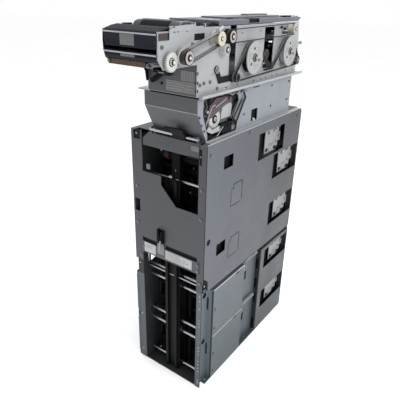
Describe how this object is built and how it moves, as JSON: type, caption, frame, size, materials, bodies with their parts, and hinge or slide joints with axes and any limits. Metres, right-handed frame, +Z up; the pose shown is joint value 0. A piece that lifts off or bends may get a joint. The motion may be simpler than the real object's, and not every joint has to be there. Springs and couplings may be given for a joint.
{
  "type": "banknote dispenser",
  "caption": "Tall note dispenser tower with open cassette bays, a note transport on the roof and a belt-driven presenter with a nose at the front.",
  "frame": {"origin": "centre of the tower's footprint, on the floor that it stands on", "axes": "+Z up, -Y towards the presenter nose, +X towards the side with the belts and gears"},
  "size_m": [0.2345, 0.6184, 0.949],
  "materials": {
    "tower_paint": "satin grey paint on sheet steel",
    "front_paint": "satin grey paint",
    "dark_floor": "satin dark grey",
    "bay_steel": "satin black",
    "unit_steel": "satin grey paint",
    "plate_steel": "zinc plated sheet steel, satin",
    "cover_steel": "satin blue-grey",
    "nose_black": "gloss black",
    "black_plastic": "matt black",
    "pale_plastic": "matt light grey",
    "white_plastic": "matt white acetal",
    "cream_plastic": "matt cream",
    "belt_rubber": "matt dark rubber",
    "bright_steel": "ground steel",
    "copper": "brushed copper",
    "gate_bronze": "dark bronze anodised",
    "label_stock": "matt printed label stock, blank"
  },
  "bodies": {
    "frame": {"base_plate": "dark_floor", "bay_shelves": "bay_steel", "right_side_panel": "tower_paint", "left_side_panel": "tower_paint", "front_panel": "front_paint", "roof_plate": "tower_paint", "top_cross_bar": "front_paint", "label_bar": "front_paint", "labels": "label_stock", "cable_clip": "black_plastic", "right_inner_plate": "bay_steel", "left_inner_plate": "bay_steel", "front_side_cover_1": "tower_paint", "front_side_cover_2": "tower_paint", "rear_side_cover_1": "tower_paint", "rear_side_cover_2": "tower_paint", "left_lower_panel": "tower_paint", "column_guides": "black_plastic", "tower_belt": "belt_rubber", "cross_rods": "bright_steel", "sensor_plates": "pale_plastic", "screws": "bright_steel", "transport_front_plate": "unit_steel", "transport_right_plate": "unit_steel", "transport_left_plate": "unit_steel", "gate_spring": "bright_steel", "transport_motor": "black_plastic", "base_flange": "plate_steel", "presenter_front_plate": "plate_steel", "presenter_left_plate": "plate_steel", "presenter_right_plate": "plate_steel", "presenter_rear_plate": "plate_steel", "note_guides": "black_plastic", "nose_upper_shell": "nose_black", "nose_lower_shell": "nose_black", "nose_trim": "bright_steel", "copper_strip": "copper", "idler_bracket": "black_plastic", "wide_belt": "belt_rubber", "long_belt": "belt_rubber", "lower_belt": "belt_rubber"},
    "latch": {"release_latch": "black_plastic"},
    "feed_1": {"feed_shaft_1": "bright_steel"},
    "feed_2": {"feed_shaft_2": "bright_steel"},
    "feed_3": {"feed_shaft_3": "bright_steel"},
    "feed_4": {"feed_shaft_4": "bright_steel"},
    "gate": {"gate_arm": "gate_bronze"},
    "gate_wheel": {"gate_gear": "white_plastic"},
    "nose_wheel": {"nose_gear": "white_plastic"},
    "gear_belt_wheel": {"gear_pulley": "white_plastic"},
    "cream_wheel": {"cream_idler": "cream_plastic"},
    "drive_wheel": {"drive_pulley": "white_plastic"},
    "front_big_wheel": {"big_pulley_front": "white_plastic"},
    "rear_big_wheel": {"big_pulley_rear": "white_plastic"},
    "rear_idler_wheel": {"rear_idler": "cream_plastic"},
    "press_wheel": {"press_roller": "white_plastic"},
    "lower_idler_wheel": {"lower_idler": "black_plastic"},
    "middle_idler_wheel": {"middle_idler": "copper"},
    "back_wheel": {"back_roller": "bright_steel"},
    "cover": {"top_cover": "cover_steel"}
  },
  "joints": [
    {"name": "latch_turn", "type": "hinge", "parent": "frame", "child": "latch", "pos_m": [0.037, -0.2385, 0.708], "axis": [1, 0, 0], "range_deg": [0, 40], "stiffness_Nm_per_rad": 0.03, "springref_deg": -20.05},
    {"name": "feed_turn_1", "type": "hinge", "parent": "frame", "child": "feed_1", "pos_m": [0.1, -0.2035, 0.134], "axis": [1, 0, 0], "continuous": true},
    {"name": "feed_turn_2", "type": "hinge", "parent": "frame", "child": "feed_2", "pos_m": [0.1, -0.2035, 0.284], "axis": [1, 0, 0], "continuous": true},
    {"name": "feed_turn_3", "type": "hinge", "parent": "frame", "child": "feed_3", "pos_m": [0.1, -0.2035, 0.434], "axis": [1, 0, 0], "continuous": true},
    {"name": "feed_turn_4", "type": "hinge", "parent": "frame", "child": "feed_4", "pos_m": [0.1, -0.2035, 0.584], "axis": [1, 0, 0], "continuous": true},
    {"name": "gate_swing", "type": "hinge", "parent": "frame", "child": "gate", "pos_m": [0.088, -0.1265, 0.779], "axis": [1, 0, 0], "range_deg": [0, 8], "stiffness_Nm_per_rad": 0.15, "springref_deg": -28.65},
    {"name": "gate_gear_turn", "type": "hinge", "parent": "frame", "child": "gate_wheel", "pos_m": [0.1, -0.1725, 0.74], "axis": [1, 0, 0], "continuous": true},
    {"name": "gear_pulley_turn", "type": "hinge", "parent": "frame", "child": "gear_belt_wheel", "pos_m": [0.1, -0.3146, 0.8851], "axis": [1, 0, 0], "continuous": true},
    {"name": "nose_gear_turn", "type": "hinge", "parent": "frame", "child": "nose_wheel", "pos_m": [0.1, -0.3471, 0.8794], "axis": [1, 0, 0], "continuous": true},
    {"name": "cream_idler_turn", "type": "hinge", "parent": "frame", "child": "cream_wheel", "pos_m": [0.1, -0.2099, 0.9123], "axis": [1, 0, 0], "continuous": true},
    {"name": "drive_pulley_turn", "type": "hinge", "parent": "frame", "child": "drive_wheel", "pos_m": [0.1, -0.1659, 0.9138], "axis": [1, 0, 0], "continuous": true},
    {"name": "rear_idler_turn", "type": "hinge", "parent": "frame", "child": "rear_idler_wheel", "pos_m": [0.1, 0.1313, 0.9175], "axis": [1, 0, 0], "continuous": true},
    {"name": "front_big_turn", "type": "hinge", "parent": "frame", "child": "front_big_wheel", "pos_m": [0.1, -0.0625, 0.864], "axis": [1, 0, 0], "continuous": true},
    {"name": "rear_big_turn", "type": "hinge", "parent": "frame", "child": "rear_big_wheel", "pos_m": [0.1, 0.118, 0.8646], "axis": [1, 0, 0], "continuous": true},
    {"name": "lower_idler_turn", "type": "hinge", "parent": "frame", "child": "lower_idler_wheel", "pos_m": [0.1, -0.1308, 0.8276], "axis": [1, 0, 0], "continuous": true},
    {"name": "press_roller_turn", "type": "hinge", "parent": "frame", "child": "press_wheel", "pos_m": [0.1, -0.1765, 0.889], "axis": [1, 0, 0], "continuous": true},
    {"name": "middle_idler_turn", "type": "hinge", "parent": "frame", "child": "middle_idler_wheel", "pos_m": [0.1, 0.0295, 0.838], "axis": [1, 0, 0], "continuous": true},
    {"name": "back_roller_turn", "type": "hinge", "parent": "frame", "child": "back_wheel", "pos_m": [0.1, 0.1709, 0.8388], "axis": [1, 0, 0], "continuous": true},
    {"name": "cover_lift", "type": "hinge", "parent": "frame", "child": "cover", "pos_m": [0.031, 0.1935, 0.9405], "axis": [-1, 0, 0], "range_deg": [0, 65]}
  ],
  "couplings": [
    {"joint": "feed_turn_2", "follows": "feed_turn_1", "ratio": 1},
    {"joint": "feed_turn_3", "follows": "feed_turn_1", "ratio": 1},
    {"joint": "feed_turn_4", "follows": "feed_turn_1", "ratio": 1},
    {"joint": "nose_gear_turn", "follows": "gear_pulley_turn", "ratio": -0.94118},
    {"joint": "cream_idler_turn", "follows": "gear_pulley_turn", "ratio": 1},
    {"joint": "rear_idler_turn", "follows": "drive_pulley_turn", "ratio": 1},
    {"joint": "rear_big_turn", "follows": "front_big_turn", "ratio": 1},
    {"joint": "lower_idler_turn", "follows": "front_big_turn", "ratio": 4.4},
    {"joint": "middle_idler_turn", "follows": "front_big_turn", "ratio": -4.4},
    {"joint": "back_roller_turn", "follows": "front_big_turn", "ratio": 3.3}
  ]
}
